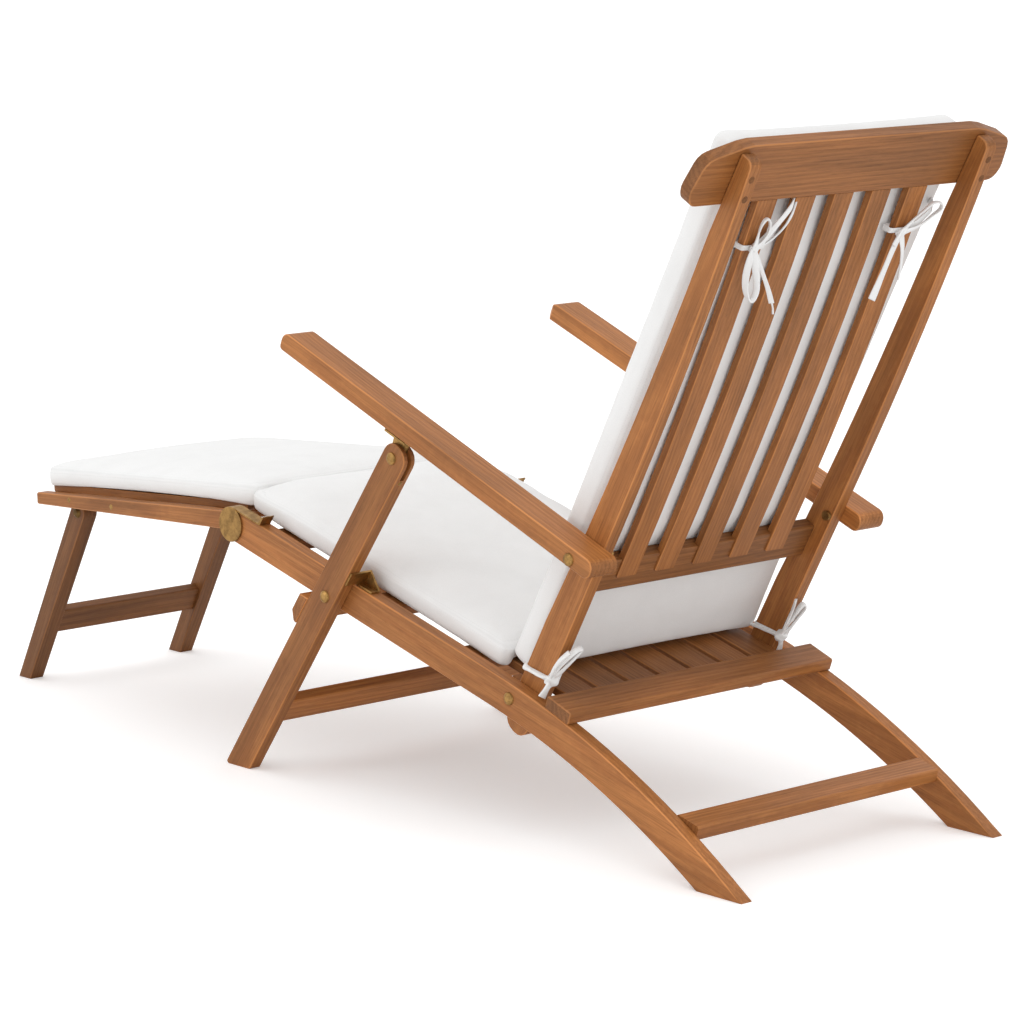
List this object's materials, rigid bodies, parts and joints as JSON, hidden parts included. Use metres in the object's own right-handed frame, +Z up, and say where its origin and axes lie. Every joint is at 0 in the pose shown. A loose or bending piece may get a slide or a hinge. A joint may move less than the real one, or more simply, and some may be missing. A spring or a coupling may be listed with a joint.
{
  "type": "steamer deck chair",
  "caption": "Folding slatted wooden deck chair with sloping arms, hinged footrest on folding legs and a tied-on cushion.",
  "frame": {"origin": "on the floor at the centre of the footprint, midway between the footrest legs and the rear ends of the seat rails", "axes": "+Z up, the sitter faces -Y with the footrest at -Y, +X is the sitter's left"},
  "size_m": [0.5758, 1.6986, 0.9579],
  "materials": {
    "teak": "oiled, satin",
    "brass": "aged, satin",
    "canvas": "plain woven"
  },
  "bodies": {
    "seat": {"back_bolt_left": "brass", "back_bolt_right": "brass", "cushion_seat": "canvas", "hinge_plate_left": "brass", "hinge_plate_right": "brass", "leg_bolt_left": "brass", "leg_bolt_right": "brass", "rear_plank": "teak", "rear_stretcher": "teak", "seat_cross_rail_front": "teak", "seat_cross_rail_middle": "teak", "seat_cross_rail_rear": "teak", "seat_rail_left": "teak", "seat_rail_right": "teak", "seat_slat_1": "teak", "seat_slat_2": "teak", "seat_slat_3": "teak", "seat_slat_4": "teak", "seat_slat_5": "teak", "seat_slat_6": "teak", "seat_slat_7": "teak", "stop_bar": "teak", "stop_bracket_left": "brass", "stop_bracket_right": "brass"},
    "backrest": {"back_lower_rail": "teak", "back_slat_1": "teak", "back_slat_2": "teak", "back_slat_3": "teak", "back_slat_4": "teak", "back_slat_5": "teak", "back_stile_left": "teak", "back_stile_right": "teak", "cushion_back": "canvas", "head_rail": "teak"},
    "front_legs": {"front_leg_left": "teak", "front_leg_right": "teak", "leg_stretcher": "teak"},
    "arm_left": {"arm_bolt_left": "brass", "arm_left": "teak", "arm_tongue_left": "brass"},
    "arm_right": {"arm_bolt_right": "brass", "arm_right": "teak", "arm_tongue_right": "brass"},
    "footrest": {"cushion_footrest": "canvas", "foot_batten_1": "teak", "foot_batten_2": "teak", "foot_batten_3": "teak", "foot_leg_bracket_left": "brass", "foot_leg_bracket_right": "brass", "foot_rail_left": "teak", "foot_rail_right": "teak", "foot_slat_1": "teak", "foot_slat_2": "teak", "foot_slat_3": "teak", "foot_slat_4": "teak", "foot_slat_5": "teak"},
    "footrest_legs": {"foot_leg_left": "teak", "foot_leg_right": "teak", "foot_leg_stretcher": "teak"}
  },
  "joints": [
    {"name": "back_fold", "type": "hinge", "parent": "seat", "child": "backrest", "pos_m": [0, 0.41465, 0.19099], "axis": [1, 0, 0], "range_deg": [0, 84], "deforming": ["cushion_back", "cushion_seat"]},
    {"name": "leg_fold", "type": "hinge", "parent": "seat", "child": "front_legs", "pos_m": [0, 0.05717, 0.27891], "axis": [1, 0, 0], "range_deg": [0, 84]},
    {"name": "arm_left_pivot", "type": "hinge", "parent": "backrest", "child": "arm_left", "pos_m": [0, 0.55925, 0.40297], "axis": [1, 0, 0], "range_deg": [-84, 0]},
    {"name": "arm_right_pivot", "type": "hinge", "parent": "backrest", "child": "arm_right", "pos_m": [0, 0.55925, 0.40297], "axis": [1, 0, 0], "range_deg": [-84, 0]},
    {"name": "footrest_hinge", "type": "hinge", "parent": "seat", "child": "footrest", "pos_m": [0, -0.17927, 0.347], "axis": [1, 0, 0], "range_deg": [0, 36]},
    {"name": "footrest_leg_fold", "type": "hinge", "parent": "footrest", "child": "footrest_legs", "pos_m": [0, -0.68154, 0.28671], "axis": [1, 0, 0], "range_deg": [0, 118]}
  ],
  "couplings": [
    {"joint": "leg_fold", "follows": "back_fold", "ratio": 1},
    {"joint": "arm_left_pivot", "follows": "back_fold", "ratio": -1},
    {"joint": "arm_right_pivot", "follows": "back_fold", "ratio": -1}
  ]
}
